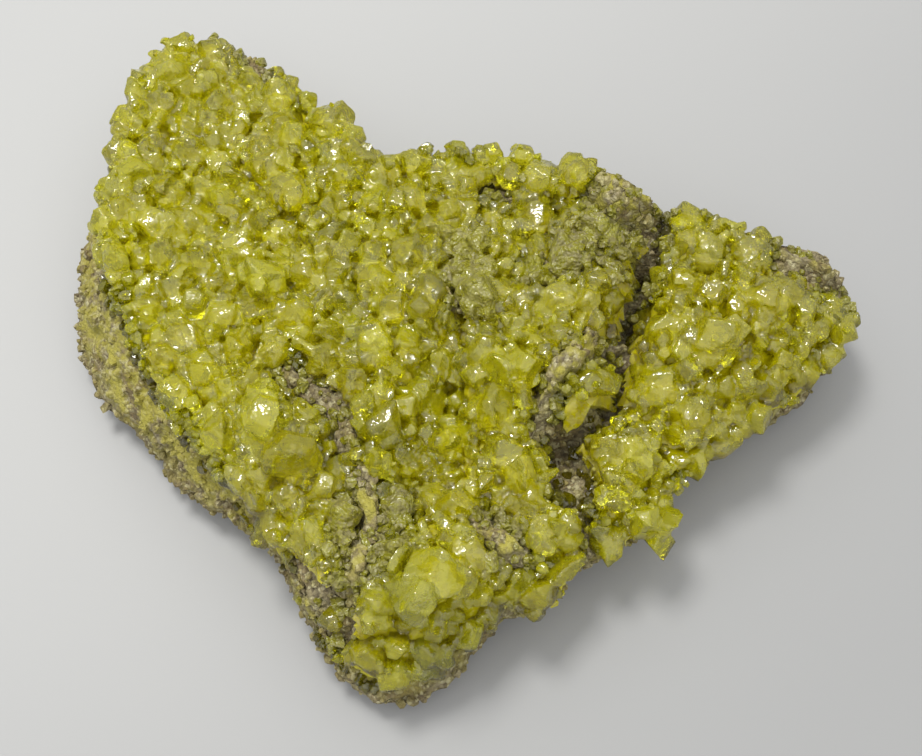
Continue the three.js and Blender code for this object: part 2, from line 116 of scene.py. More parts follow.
def distanceToEdge(x, y):  # inwards from the rim, in mm
    dx, dy = x - middle[0], y - middle[1]
    rim = np.interp(np.arctan2(dy, dx), rimAngles[rimOrder], rimRadii[rimOrder], period=2 * math.pi)
    return rim - np.hypot(dx, dy)


def distanceToStrip(x, y, path, half):
    nearest = np.full(np.shape(x), 1e9)
    for (ax, ay), (bx, by) in zip(path, path[1:]):
        dx, dy = bx - ax, by - ay
        t = np.clip(((x - ax) * dx + (y - ay) * dy) / (dx * dx + dy * dy), 0, 1)
        nearest = np.minimum(nearest, np.hypot(x - ax - t * dx, y - ay - t * dy) - half)
    return nearest


def distanceToStrips(x, y, strips):  # outwards from the nearest strip, in mm
    return np.min([distanceToStrip(x, y, path, half) for path, half, rise in strips], axis=0)


def distanceToBare(x, y):
    return distanceToStrips(x, y, bareStrips + rockPatches)


def crustAt(x, y):
    inside = False
    for (ax, ay), (bx, by) in zip(ridgeGroup, ridgeGroup[1:] + ridgeGroup[:1]):
        if (ay > y) != (by > y) and x < ax + (y - ay) / (by - ay) * (bx - ax):
            inside = not inside
    if inside:
        return "ridge"
    return "east" if x > np.interp(y, *zip(*eastOf)) else "main"


def zoneAmount(x, y, zones):  # zones are x, y, reach, amount
    total = np.zeros(np.shape(x))
    for zx, zy, reach, amount in zones:
        total = total + amount * np.exp(-((x - zx) ** 2 + (y - zy) ** 2) / reach**2)
    return total


# Small helpers for modelling


def deselectAll():
    if bpy.context.mode != "OBJECT":
        bpy.ops.object.mode_set(mode="OBJECT")
    bpy.ops.object.select_all(action="DESELECT")


def makeActive(piece):
    deselectAll()
    piece.select_set(True)
    bpy.context.view_layer.objects.active = piece


def applyModifier(piece, kind, **settings):
    makeActive(piece)
    modifier = piece.modifiers.new(kind.title(), kind)
    for key, value in settings.items():
        setattr(modifier, key, value)
    bpy.ops.object.modifier_apply(modifier=modifier.name)


def roughTexture(name, kind, size, **settings):
    texture = bpy.data.textures.new(name, kind)
    texture.noise_scale = size * mm
    for key, value in settings.items():
        setattr(texture, key, value)
    return texture


def pointsOf(mesh):
    points = np.empty(len(mesh.vertices) * 3, np.float32)
    mesh.vertices.foreach_get("co", points)
    return points.reshape(-1, 3).astype(float)


def setPoints(mesh, points):
    mesh.vertices.foreach_set("co", points.astype(np.float32).ravel())
    mesh.update()


def giveValues(mesh, name, values):
    attribute = mesh.attributes.new(name, "FLOAT", "POINT")
    attribute.data.foreach_set("value", np.asarray(values, np.float32))


def arrayOf(items, key, width, kind):
    values = np.empty(len(items) * width, kind)
    items.foreach_get(key, values)
    return values.reshape(-1, width) if width > 1 else values


def ridgeOf(mesh):  # how far each point stands out from its neighbours
    points, normals = pointsOf(mesh), arrayOf(mesh.vertices, "normal", 3, np.float32)
    edges = arrayOf(mesh.edges, "vertices", 2, np.int32)
    along = points[edges[:, 0]] - points[edges[:, 1]]
    along /= np.linalg.norm(along, axis=1, keepdims=True) + 1e-12
    ridge, count = np.zeros(len(points)), np.zeros(len(points))
    for end, sign in ((0, 1), (1, -1)):
        np.add.at(ridge, edges[:, end], sign * (along * normals[edges[:, end]]).sum(1))
        np.add.at(count, edges[:, end], 1)
    return ridge / np.maximum(count, 1), edges, count


def shapeOf(piece):  # a mesh as arrays, so that it can be copied many times
    mesh = piece.data
    sharp = mesh.attributes.get("sharp_edge")
    edges = arrayOf(mesh.edges, "vertices", 2, np.int32)
    return {
        "points": pointsOf(mesh),
        "edges": edges,
        "corners": arrayOf(mesh.loops, "vertex_index", 1, np.int32),
        "cornerEdges": arrayOf(mesh.loops, "edge_index", 1, np.int32),
        "starts": arrayOf(mesh.polygons, "loop_start", 1, np.int32),
        "sharp": arrayOf(sharp.data, "value", 1, bool) if sharp else np.zeros(len(edges), bool),
        "triangles": len(mesh.loops) - 2 * len(mesh.polygons),
    }


def removePiece(piece):
    mesh = piece.data
    bpy.data.objects.remove(piece)
    bpy.data.meshes.remove(mesh)


def treeOf(*pieces):
    points, faces, count = [], [], 0
    for piece in pieces:
        own = pointsOf(piece.data)
        points.extend(map(tuple, own))
        faces.extend(tuple(count + i for i in p.vertices) for p in piece.data.polygons)
        count += len(own)
    return BVHTree.FromPolygons(points, faces)


# Crystal shapes, cut from a cube by the faces of native sulfur

crystalForms = {  # directions of one face of each form; the others are its mirror images
    "steepPyramid": (0.737, 0.599, 0.315),
    "flatPyramid": (0.550, 0.447, 0.705),
    "base": (0, 0, 1),
    "dome": (0, 0.885, 0.465),
    "sideDome": (0.92, 0, 0.393),
}
habits = {  # height as a share of the width, and each form's distance from the centre, least and most
    "block": {
        "tall": 0.95,
        "cuts": {
            "steepPyramid": (0.74, 0.98),
            "flatPyramid": (0.78, 1.0),
            "base": (0.66, 0.95),
            "dome": (0.8, 1.05),
        },
    },
    "tablet": {
        "tall": 0.75,
        "cuts": {
            "steepPyramid": (0.78, 0.98),
            "flatPyramid": (0.7, 0.86),
            "base": (0.45, 0.58),
            "sideDome": (0.8, 1.0),
        },
    },
    "prism": {
        "tall": 0.9,
        "cuts": {
            "steepPyramid": (0.62, 0.78),
            "flatPyramid": (0.95, 1.1),
            "base": (1.05, 1.2),
            "dome": (0.62, 0.8),
        },
    },
    "pyramid": {
        "tall": 1.1,
        "cuts": {"steepPyramid": (0.66, 0.76), "flatPyramid": (0.84, 1.0), "base": (0.95, 1.15)},
    },
    "plate": {
        "tall": 0.4,
        "cuts": {
            "steepPyramid": (0.8, 1.05),
            "sideDome": (0.75, 1.0),
            "dome": (0.7, 1.0),
            "base": (0.26, 0.36),
        },
    },
}
crystalCut = {
    "seed": 11,
    "unevenness": 0.2,  # of a face's distance
    "tilt": 0.14,  # of a face's direction
    "missing": 0.2,  # share of the faces that haven't grown
    "chips": (0.72, 0.86),  # distance of a chipped corner
    "crease": 15,  # degrees over which an edge stays sharp
    "largePerHabit": {"block": 10, "tablet": 5, "prism": 4, "pyramid": 3},
    "mediumPerHabit": {"block": 8, "tablet": 4, "prism": 4, "pyramid": 3, "plate": 4},
    "smallPerHabit": {"block": 5, "prism": 2, "pyramid": 2, "plate": 2},
}


def mirrored(direction):
    found = {tuple(np.multiply(direction, (i, j, k)) + 0.0) for i in (1, -1) for j in (1, -1) for k in (1, -1)}
    return sorted(found)


def cutCrystal(habit, draw, chips=0):  # one plain crystal, about 2 across
    deselectAll()
    bpy.ops.mesh.primitive_cube_add(size=2.9, location=(0, 0, 0))
    piece = bpy.context.object
    bpy.ops.object.mode_set(mode="EDIT")
    planes = []
    for form, (least, most) in habits[habit]["cuts"].items():
        distance = draw.uniform(least, most)
        for direction in mirrored(crystalForms[form]):
            if draw.random() < crystalCut["missing"] and form != "base":
                continue  # a face that this crystal hasn't grown
            normal = Vector(direction) + Vector(draw.uniform(-1, 1, 3) * crystalCut["tilt"])
            shift = 1 + crystalCut["unevenness"] * draw.uniform(-1, 1)
            planes.append((normal.normalized(), distance * shift))
    for i in range(chips):
        planes.append((Vector(draw.normal(size=3)).normalized(), draw.uniform(*crystalCut["chips"])))
    for normal, distance in planes:
        bpy.ops.mesh.select_all(action="SELECT")
        bpy.ops.mesh.bisect(plane_co=normal * distance, plane_no=normal, use_fill=True, clear_outer=True)
    bpy.ops.mesh.select_all(action="SELECT")
    bpy.ops.mesh.dissolve_degenerate(threshold=0.06)
    bpy.ops.mesh.select_all(action="SELECT")
    bpy.ops.mesh.dissolve_limited(angle_limit=math.radians(4))
    bpy.ops.mesh.select_all(action="SELECT")
    bpy.ops.mesh.normals_make_consistent(inside=False)
    bpy.ops.object.mode_set(mode="OBJECT")
    return piece


def finishShape(piece, crease):  # brought to half sizes of 1, with its sharp edges marked
    makeActive(piece)
    bpy.ops.object.shade_smooth_by_angle(angle=math.radians(crease))
    shape = shapeOf(piece)
    low, high = shape["points"].min(0), shape["points"].max(0)
    shape["points"] = (shape["points"] - (low + high) / 2) / ((high - low) / 2)
    removePiece(piece)
    return shape


def cutShapes(label, chipsOf):
    shapes = {
        habit: [finishShape(cutCrystal(habit, draw, chipsOf(i)), crystalCut["crease"]) for i in range(count)]
        for habit, count in crystalCut[label + "PerHabit"].items()
    }
    print(label, "shapes:", [s["triangles"] for group in shapes.values() for s in group])
    return shapes


draw = np.random.default_rng(crystalCut["seed"])
largeShapes = cutShapes("large", lambda i: 1 + i % 3)
mediumShapes = cutShapes("medium", lambda i: 1 + i % 2)
smallShapes = cutShapes("small", lambda i: 0)

# The rock

rockLook = {
    "levels": 3,
    "lumps": (11, 2.2),  # size and height in mm
    "knobs": (4, 1.9),
    "grains": (1.7, 0.75),
    "flatBelow": 0.8,  # the resting face stays as it is, in mm
    "roughAbove": 3.5,
}


def copyOfNode(node, name):
    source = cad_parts[node]
    piece = bpy.data.objects.new(name, source.data.copy())
    bpy.context.scene.collection.objects.link(piece)
    makeActive(piece)
    bpy.ops.object.mode_set(mode="EDIT")
    bpy.ops.mesh.select_all(action="SELECT")
    bpy.ops.mesh.remove_doubles(threshold=0.01 * mm)
    bpy.ops.mesh.select_all(action="SELECT")
    bpy.ops.mesh.normals_make_consistent(inside=False)
    bpy.ops.object.mode_set(mode="OBJECT")
    piece.data.materials.clear()
    return piece


def smoothstep(value, low, high):
    t = np.clip((value - low) / (high - low), 0, 1)
    return t * t * (3 - 2 * t)


def makeRock():
    piece = copyOfNode("rock_matrix", "rock")
    applyModifier(
        piece,
        "SUBSURF",
        subdivision_type="SIMPLE",
        levels=rockLook["levels"],
        render_levels=rockLook["levels"],
    )
    applyModifier(piece, "SMOOTH", factor=0.5, iterations=4)
    points = pointsOf(piece.data) / mm
    top = smoothstep(arrayOf(piece.data.vertices, "normal", 3, np.float32)[:, 2], 0.1, 0.6)
    for path, half, rise in bareStrips + rockPatches:
        distance = distanceToStrip(points[:, 0], points[:, 1], path, half)
        points[:, 2] += rise * top * smoothstep(-distance, -1.6, 1.2)
    setPoints(piece.data, points * mm)
    rough = smoothstep(points[:, 2], rockLook["flatBelow"], rockLook["roughAbove"])
    group = piece.vertex_groups.new(name="rough")
    for i, weight in enumerate(rough):
        group.add([i], float(weight), "REPLACE")
    (lumps, lumpHeight), (knobs, knobHeight), (grains, grainHeight) = (
        rockLook[key] for key in ("lumps", "knobs", "grains")
    )
    textures = [
        (roughTexture("rockLumps", "CLOUDS", lumps, noise_depth=3), lumpHeight, 0.5),
        (roughTexture("rockKnobs", "VORONOI", knobs, distance_metric="DISTANCE"), -knobHeight, 0.4),
        (roughTexture("rockGrains", "VORONOI", grains), -grainHeight, 0.4),
    ]
    for texture, height, level in textures:
        applyModifier(
            piece,
            "DISPLACE",
            texture=texture,
            texture_coords="LOCAL",
            strength=height * mm,
            mid_level=level,
            vertex_group="rough",
        )
    points = pointsOf(piece.data)
    points[:, 2] = np.maximum(points[:, 2], 0)
    setPoints(piece.data, points)
    piece.vertex_groups.clear()
    return piece


cadRockTree = treeOf(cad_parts["rock_matrix"])
rock = makeRock()
rockTree = treeOf(rock)
print("rock:", len(rock.data.polygons), "faces")


def heightAt(tree, x, y):  # in mm, straight down on a surface
    hit = tree.ray_cast(Vector((x * mm, y * mm, 0.2)), Vector((0, 0, -1)))
    return (hit[0].z / mm, hit[1]) if hit[0] is not None else (None, None)


def groundAt(x, y):  # of the solid rock; past its edge, the height of the nearest rock inwards
    for share in np.linspace(0, 0.3, 31):
        nearX, nearY = x + (middle[0] - x) * share, y + (middle[1] - y) * share
        height = heightAt(cadRockTree, nearX, nearY)[0]
        if height is not None:
            return height
    return 0


# The crystals' places, as the solids have them


def randomSource(seed):  # the same plain source as the solids use
    state = seed

    def following():
        nonlocal state
        state = state * 48271 % 2147483647
        return state / 2147483647

    return following


sowing = {  # sizes in mm
    "seed": 20,
    "shapeSeed": 5,
    "least": 6.4,
    "most": 9.6,
    "reach": 0.53,  # of the width
    "crowding": 0.95,
    "tries": 900,
    "fromEdge": 1,
    "fromBare": 0.3,  # of the width
    "clearOfPatches": 0.5,
    "foot": 1,
    "habits": (("block", 0.62), ("tablet", 0.8), ("prism", 0.92), ("pyramid", 1)),
    "length": 1.12,  # of the width
    "prismLength": 1.45,
    "lean": 42,  # degrees
    "prismLean": 15,
}


def sowLarge():
    found = [
        {"x": x, "y": y, "width": w, "length": l, "turn": t, "habit": h, "reach": (w + l) / 4}
        for x, y, w, l, t, h in landmarks
    ]
    random = randomSource(sowing["seed"])
    failures = 0
    while failures < sowing["tries"]:
        x = -84 + 168 * random()
        y = -68 + 152 * random()
        width = sowing["least"] + (sowing["most"] - sowing["least"]) * random() * random()
        reach = width * sowing["reach"]
        free = all(
            math.hypot(c["x"] - x, c["y"] - y) > sowing["crowding"] * (c["reach"] + reach) for c in found
        )
        inside = distanceToEdge(x, y) >= sowing["fromEdge"]
        if not (free and inside and distanceToStrips(x, y, bareStrips) >= sowing["fromBare"] * width):
            failures += 1
            continue
        failures = 0
        turn = 360 * random()
        choice = random()
        habit = next(name for name, upTo in sowing["habits"] if choice < upTo)
        length = width * sowing["prismLength" if habit == "prism" else "length"]
        found.append(
            {"x": x, "y": y, "width": width, "length": length, "turn": turn, "habit": habit, "reach": reach}
        )
    return found


def turned(axis, angle):
    return np.array(Matrix.Rotation(angle, 3, axis))


def placeLarge(crystal, random, draw):
    habit = crystal["habit"]
    tall = habits[habit]["tall"]
    frameOf = turned("Z", 2 * math.pi * random())
    if habit == "prism":
        frameOf = turned("Y", math.pi / 2) @ frameOf
    frameOf = np.diag([crystal["length"] / 2, crystal["width"] / 2, crystal["width"] * tall / 2]) @ frameOf
    lean = sowing["prismLean" if habit == "prism" else "lean"]
    for axis in ("X", "Y"):
        frameOf = turned(axis, math.radians(lean * (random() - 0.5) * 2)) @ frameOf
    frameOf = turned("Z", math.radians(crystal["turn"])) @ frameOf
    shape = largeShapes[habit][draw.integers(len(largeShapes[habit]))]
    lowest = (shape["points"] @ frameOf.T)[:, 2].min()
    ground = groundAt(crystal["x"], crystal["y"])
    place = np.array([crystal["x"], crystal["y"], ground + sowing["foot"] - lowest])
    return {"shape": shape, "frame": frameOf, "place": place, "foot": ground, "size": crystal["width"]}


# Colour and dust by zone: x, y, reach, amount

dustZones = [
    (-17, -34, 9, 0.9), (-20, -46, 8, 0.5), (2, 16, 12, 0.55), (-4, 24, 8, 0.4), (24, 22, 12, 0.7),
    (30, 30, 8, 0.6), (7, -37, 7, 0.9), (-28, -8, 8, 0.5), (-36, -26, 8, 0.3), (20, -2, 5, 0.5),
    (52, 30, 12, 0.25), (72, 20, 10, 0.4), (-45, 76, 12, 0.35), (8, 40, 8, 0.35),
]
brightZones = [
    (-39, -14.5, 8, 0.8), (8, -1, 9, 0.7), (-6.5, -48, 10, 0.6), (-58, 20, 20, 0.35), (-60, 55, 22, 0.25),
    (27, -6, 5, 0.6), (36, -32, 7, 0.4), (50, 4, 12, 0.25), (-29, 57, 8, 0.35),
]
oliveZones = [
    (-33, -22, 8, 0.9), (10.5, -28, 6, 0.8), (55, 5, 24, 0.8), (-14, -15, 6, 0.4), (30, 12, 8, 0.4),
    (-5, -22, 14, 0.3),
]


def zoneValues(x, y):
    return (
        float(np.clip(zoneAmount(x, y, dustZones), 0, 1)),
        float(zoneAmount(x, y, brightZones) - zoneAmount(x, y, oliveZones)),
    )


draw = np.random.default_rng(sowing["shapeSeed"])
random = randomSource(sowing["seed"] + 1)
largeCrystals = [placeLarge(c, random, draw) for c in sowLarge()]
largeCrystals = [
    c for c in largeCrystals if distanceToStrips(*c["place"][:2], rockPatches) > sowing["clearOfPatches"]
]
print("large crystals:", len(largeCrystals))

# The bed that the crystals stand on

crusts = {"main": "main_crust", "east": "east_crust", "ridge": "ridge_crystals"}
bedLook = {  # in mm
    "levels": 2,
    "thick": 2.8,
    "lumps": (6, 1.8),  # size and height
    "knobs": (3, 1.1),
    "fromBare": 0.8,
    "fromEdge": 1.6,
    "above": 7,
    "steepest": 0.3,  # upward share of the normal
    "tone": 0.3,
    # painted shade over the whole bed, towards its deep colour
    "depth": 0.6,
}


def makeBed(crust, node):
    piece = copyOfNode("rock_matrix", node + "_bed")
    applyModifier(
        piece, "SUBSURF", subdivision_type="SIMPLE", levels=bedLook["levels"], render_levels=bedLook["levels"]
    )
    mesh = piece.data
    makeActive(piece)
    x, y, z = (arrayOf(mesh.polygons, "center", 3, np.float32) / mm).T
    keep = arrayOf(mesh.polygons, "normal", 3, np.float32)[:, 2] > bedLook["steepest"]
    keep &= (distanceToBare(x, y) > bedLook["fromBare"]) & (distanceToEdge(x, y) > bedLook["fromEdge"])
    keep &= z > bedLook["above"]
    side = np.array([crustAt(a, b) == crust for a, b in zip(x, y)])
    mesh.polygons.foreach_set("select", ~(keep & side))
    mesh.update()
    bpy.ops.object.mode_set(mode="EDIT")
    bpy.ops.mesh.select_mode(type="FACE")
    bpy.ops.object.mode_set(mode="OBJECT")
    mesh.polygons.foreach_set("select", ~(keep & side))
    bpy.ops.object.mode_set(mode="EDIT")
    bpy.ops.mesh.delete(type="FACE")
    bpy.ops.object.mode_set(mode="OBJECT")
    applyModifier(piece, "SOLIDIFY", thickness=bedLook["thick"] * mm, offset=1.0, use_even_offset=False)
    for kind, (size, height) in (("CLOUDS", bedLook["lumps"]), ("VORONOI", bedLook["knobs"])):
        sign = -1 if kind == "VORONOI" else 1
        applyModifier(
            piece,
            "DISPLACE",
            texture=roughTexture("bed" + kind.title(), kind, size),
            texture_coords="LOCAL",
            strength=sign * height * mm,
            mid_level=0.5,
        )
    return piece


beds = {crust: makeBed(crust, node) for crust, node in crusts.items()}
print("beds:", [len(b.data.polygons) for b in beds.values()])

mediumLook = {
    "seed": 6,
    "count": 2400,
    "tries": 60000,
    "least": 3.4,
    "most": 8.2,
    "inDust": 0.6,  # size where the crystals are dusty
    "sink": 0.32,  # share of the size that is below the ground
    "lift": 1.8,
    "crowding": 0.52,
    "clearOfLarge": 0.52,
    "fromEdge": 0.3,
    "fromBare": 0.15,  # of the size
    "lean": 0.5,
    "longLean": 0.9,  # of plates and prisms
}


def seatOn(tree, x, y):
    height, normal = heightAt(tree, x, y)
    if height is None:
        return None, None
    return np.array([x, y, height]), np.array(normal)


def frameAlong(normal, draw, sizes, lean):  # stands a unit shape along a normal, tipped at random
    axis = Vector(normal) + Vector(draw.normal(size=3) * lean)
    stand = np.array(axis.to_track_quat("Z", "Y").to_matrix())
    return stand @ turned("Z", draw.uniform(0, 2 * math.pi)) @ np.diag(sizes)


def pickHabit(draw, shapes):
    choice = draw.random()
    for habit, upTo in (("block", 0.45), ("tablet", 0.6), ("prism", 0.75), ("pyramid", 0.84), ("plate", 1)):
        if choice < upTo and habit in shapes:
            return habit
    return "block"


def sowMedium():
    draw = np.random.default_rng(mediumLook["seed"])
    tree = treeOf(rock, *beds.values())
    places = np.array([c["place"][:2] for c in largeCrystals])
    reaches = np.array([c["size"] * 0.5 for c in largeCrystals])
    own, ownReach, found = np.zeros((0, 2)), np.zeros(0), []
    for i in range(mediumLook["tries"]):
        if len(found) >= mediumLook["count"]:
            break
        x, y = draw.uniform(-84, 84), draw.uniform(-68, 84)
        size = mediumLook["least"] + (mediumLook["most"] - mediumLook["least"]) * draw.random() ** 1.6
        dust = zoneValues(x, y)[0]
        size *= 1 + (mediumLook["inDust"] - 1) * dust
        edge = float(distanceToEdge(x, y))
        if edge < mediumLook["fromEdge"] or float(distanceToBare(x, y)) < mediumLook["fromBare"] * size:
            continue
        if (np.hypot(*(places - (x, y)).T) < mediumLook["clearOfLarge"] * reaches).any():
            continue
        apart = mediumLook["crowding"] * (ownReach + size / 2)
        if len(own) and (np.hypot(*(own - (x, y)).T) < apart).any():
            continue
        spot, normal = seatOn(tree, x, y)
        if spot is None:
            continue
        habit = pickHabit(draw, mediumShapes)
        shape = mediumShapes[habit][draw.integers(len(mediumShapes[habit]))]
        tall = habits[habit]["tall"] * (1.7 if habit == "prism" else 1)
        sizes = size / 2 * draw.uniform(0.8, 1.05, 3) * (1, 1, tall)
        lift = size * (0.5 - mediumLook["sink"]) + draw.uniform(0, mediumLook["lift"])
        lean = mediumLook["longLean" if habit in ("plate", "prism") else "lean"]
        frameOf = frameAlong(normal * 0.5 + (0, 0, 0.5), draw, sizes, lean)
        place = spot + (0, 0, lift)
        found.append({"shape": shape, "frame": frameOf, "place": place, "foot": groundAt(x, y), "size": size})
        own = np.vstack([own, (x, y)])
        ownReach = np.append(ownReach, size / 2)
    return found


mediumCrystals = sowMedium()
print("medium crystals:", len(mediumCrystals))


def joinCopies(name, copies):  # one mesh of many copies, with what the materials read
    found = {key: [] for key in ("points", "edges", "corners", "cornerEdges", "starts", "sharp", "finish")}
    values = {key: [] for key in ("tone", "dust", "depth")}
    pointCount = edgeCount = cornerCount = 0
    for copy in copies:
        shape = copy["shape"]
        own = shape["points"] @ copy["frame"].T + copy["place"]
        found["points"].append(own)
        found["edges"].append(shape["edges"] + pointCount)
        found["corners"].append(shape["corners"] + pointCount)
        found["cornerEdges"].append(shape["cornerEdges"] + edgeCount)
        found["starts"].append(shape["starts"] + cornerCount)
        found["sharp"].append(shape["sharp"])
        found["finish"].append(np.full(len(shape["starts"]), copy["finish"], np.int32))
        values["tone"].append(np.full(len(own), copy["tone"]))
        values["dust"].append(np.full(len(own), copy["dust"]))
        # painted shade: each crystal's colour goes darker towards its foot
        values["depth"].append(np.clip(1 - (own[:, 2] - copy["foot"]) / copy["deep"], 0, 1))
        pointCount += len(own)
        edgeCount += len(shape["edges"])
        cornerCount += len(shape["corners"])
    found = {key: np.concatenate(parts) for key, parts in found.items()}
    mesh = bpy.data.meshes.new(name)
    mesh.vertices.add(pointCount)
    mesh.vertices.foreach_set("co", (found["points"] * mm).astype(np.float32).ravel())
    mesh.edges.add(edgeCount)
    mesh.edges.foreach_set("vertices", found["edges"].astype(np.int32).ravel())
    mesh.loops.add(cornerCount)
    mesh.loops.foreach_set("vertex_index", found["corners"].astype(np.int32))
    mesh.loops.foreach_set("edge_index", found["cornerEdges"].astype(np.int32))
    mesh.polygons.add(len(found["starts"]))
    mesh.polygons.foreach_set("loop_start", found["starts"].astype(np.int32))
    mesh.polygons.foreach_set("material_index", found["finish"])
    mesh.attributes.new("sharp_edge", "BOOLEAN", "EDGE").data.foreach_set("value", found["sharp"])
    mesh.update()
    for key, parts in values.items():
        giveValues(mesh, key, np.concatenate(parts))
    giveValues(mesh, "rim", np.zeros(pointCount))
    piece = bpy.data.objects.new(name, mesh)
    bpy.context.scene.collection.objects.link(piece)
    return piece


clear, cloudy, dusty = 0, 1, 2  # the order of the crystals' materials
finishLook = {
    "seed": 8,
    "deep": 6.5,  # mm over which the painted shade darkens from the top to the darkest foot
    "clearShare": 0.5,
    "dustyOver": 0.5,
    "grainDustyOver": 0.4,
    "nearBare": 0.35,
}


def finishOf(copy, draw):  # gives a crystal its tone, dust and finish
    x, y = copy["place"][:2]
    dust, bright = zoneValues(x, y)
    dust = float(np.clip(dust * draw.uniform(0.5, 1.3) + 0.06 * draw.random(), 0, 1))
    copy["tone"] = float(np.clip(0.5 + 0.5 * bright + draw.normal() * 0.2, 0, 1))
    copy["dust"] = dust
    copy["deep"] = finishLook["deep"]
    if dust > finishLook["dustyOver"]:
        copy["finish"] = dusty
    else:
        copy["finish"] = clear if draw.random() < finishLook["clearShare"] else cloudy


draw = np.random.default_rng(finishLook["seed"])
for copy in largeCrystals + mediumCrystals:
    finishOf(copy, draw)

sidePieces = {  # sizes as shares of the large crystal's
    "seed": 15,
    "least": 0.4,
    "most": 0.75,
    "out": (0.55, 0.85),
    "count": (1, 4),
    "lean": 0.5,
    "turn": 0.6,
}


def growSides():  # smaller crystals grown into the sides of the large ones
    draw = np.random.default_rng(sidePieces["seed"])
    found = []
    for parent in largeCrystals:
        for i in range(draw.integers(*sidePieces["count"])):
            share = draw.uniform(sidePieces["least"], sidePieces["most"])
            angle = draw.uniform(0, 2 * math.pi)
            out = parent["size"] / 2 * draw.uniform(*sidePieces["out"])
            offset = (out * math.cos(angle), out * math.sin(angle), parent["size"] * draw.uniform(-0.25, 0.12))
            steep, turn = sidePieces["lean"], sidePieces["turn"]
            lean = turned("X", draw.uniform(-steep, steep)) @ turned("Y", draw.uniform(-steep, steep))
            lean = lean @ turned("Z", draw.uniform(-turn, turn))
            habit = pickHabit(draw, mediumShapes)
            shape = mediumShapes[habit][draw.integers(len(mediumShapes[habit]))]
            found.append({
                **parent,
                "shape": shape,
                "frame": lean @ parent["frame"] * share,
                "place": parent["place"] + offset,
                "size": parent["size"] * share,
                "tone": float(np.clip(parent["tone"] + draw.normal() * 0.12, 0, 1)),
            })
    return found


sideCrystals = growSides()
fusedLook = {
    "voxel": 0.38,
    "keep": 0.5,  # share of the faces left by Decimate
    "dents": ((3.2, 0.3), (1.3, 0.16)),  # size and height in mm
    "crease": 30,  # degrees over which an edge stays sharp
    "hollows": ((3, 2.2), (9, 4.5)),  # reach and depth in mm of the painted shade in the hollows
}
bodies = {"west": "main_crust", "middle": "main_crust", "east": "east_crust", "ridge": "ridge_crystals"}


def bodyAt(x, y):  # the main crust's crystals are grown together in two overlapping halves
    crust = crustAt(x, y)
    if crust != "main":
        return crust
    return "west" if x + 0.25 * y < -20 else "middle"


def hollowsOf(points, up, reach):  # how far each point lies below the mean height around it
    cell = reach / 3
    spots = ((points[:, :2] - points[:, :2].min(0)) / cell).astype(int) + 3
    total, count = np.zeros(spots.max(0) + 4), np.zeros(spots.max(0) + 4)
    np.add.at(total, tuple(spots.T), np.where(up, points[:, 2], 0))
    np.add.at(count, tuple(spots.T), up)
    window = [(i, j) for i in range(-1, 2) for j in range(-1, 2)]
    for again in range(2):
        total = sum(np.roll(total, w, (0, 1)) for w in window)
        count = sum(np.roll(count, w, (0, 1)) for w in window)
    return (total / np.maximum(count, 1e-9))[tuple(spots.T)] - points[:, 2]


def fuse(body, node):  # crystals grown together as one body
    copies = [c for c in largeCrystals + sideCrystals + mediumCrystals if bodyAt(*c["place"][:2]) == body]
    piece = joinCopies(f"{node}_{body}_grown", copies)
    owners = np.repeat(np.arange(len(copies)), [len(c["shape"]["starts"]) for c in copies])
    tree = treeOf(piece)
    applyModifier(piece, "REMESH", mode="VOXEL", voxel_size=fusedLook["voxel"] * mm)
    for size, height in fusedLook["dents"]:
        texture = roughTexture("dents", "CLOUDS", size, noise_depth=1)
        applyModifier(
            piece, "DISPLACE", texture=texture, texture_coords="LOCAL", strength=height * mm, mid_level=0.5
        )
    applyModifier(piece, "DECIMATE", ratio=fusedLook["keep"])
    makeActive(piece)
    bpy.ops.object.shade_smooth_by_angle(angle=math.radians(fusedLook["crease"]))
    mesh = piece.data
    points = pointsOf(mesh)
    owner = np.array([owners[tree.find_nearest(Vector(point))[2]] for point in points])
    tone, dust, finish = (np.array([c[key] for c in copies])[owner] for key in ("tone", "dust", "finish"))
    giveValues(mesh, "tone", tone)
    giveValues(mesh, "dust", dust)
    up = arrayOf(mesh.vertices, "normal", 3, np.float32)[:, 2] > 0.1
    # painted shade: darker in the hollows between crystals, plus a darker tone for low-toned crystals
    hollows = sum(hollowsOf(points / mm, up, reach) / deep for reach, deep in fusedLook["hollows"]) / 2
    giveValues(mesh, "depth", np.clip(0.12 + np.maximum(0.5 - tone, 0) * 0.7 + hollows, 0, 1))
    # painted highlight: points on edges that stand out get a lighter colour
    ridge, edges, count = ridgeOf(mesh)
    around = np.zeros(len(points))
    for end in (0, 1):
        np.add.at(around, edges[:, end], ridge[edges[:, 1 - end]])
    giveValues(mesh, "rim", np.clip(0.5 * ridge + 0.5 * around / np.maximum(count, 1), 0, 1) * 2.4)
    starts = arrayOf(mesh.polygons, "loop_start", 1, np.int32)
    corners = arrayOf(mesh.loops, "vertex_index", 1, np.int32)
    mesh.polygons.foreach_set("material_index", finish[corners[starts]].astype(np.int32))
    mesh.update()
    print(piece.name, len(copies), "crystals", len(mesh.loops) - 2 * len(mesh.polygons), "triangles")
    return piece


crystalPieces = {body: fuse(body, node) for body, node in bodies.items()}

# Small crystals in the gaps and along the rims

smallLook = {  # sizes in mm
    "seed": 9,
    "count": 1500,
    "tries": 30000,
    "least": 1.3,
    "most": 3.2,
    "pastEdge": 1.2,
    "lowest": 6,
    "top": 4.6,  # height over the ground that counts as a crystal's top
    "onTops": 0.02,  # share kept there
    "topSize": 0.7,
    "inField": 0.04,  # share kept away from rims and bare rock
    "onBare": (0.55, 0.5),  # share kept on bare rock, and how fast it falls per mm
    "out": 0.15,  # of the size
    "lean": 0.5,
}


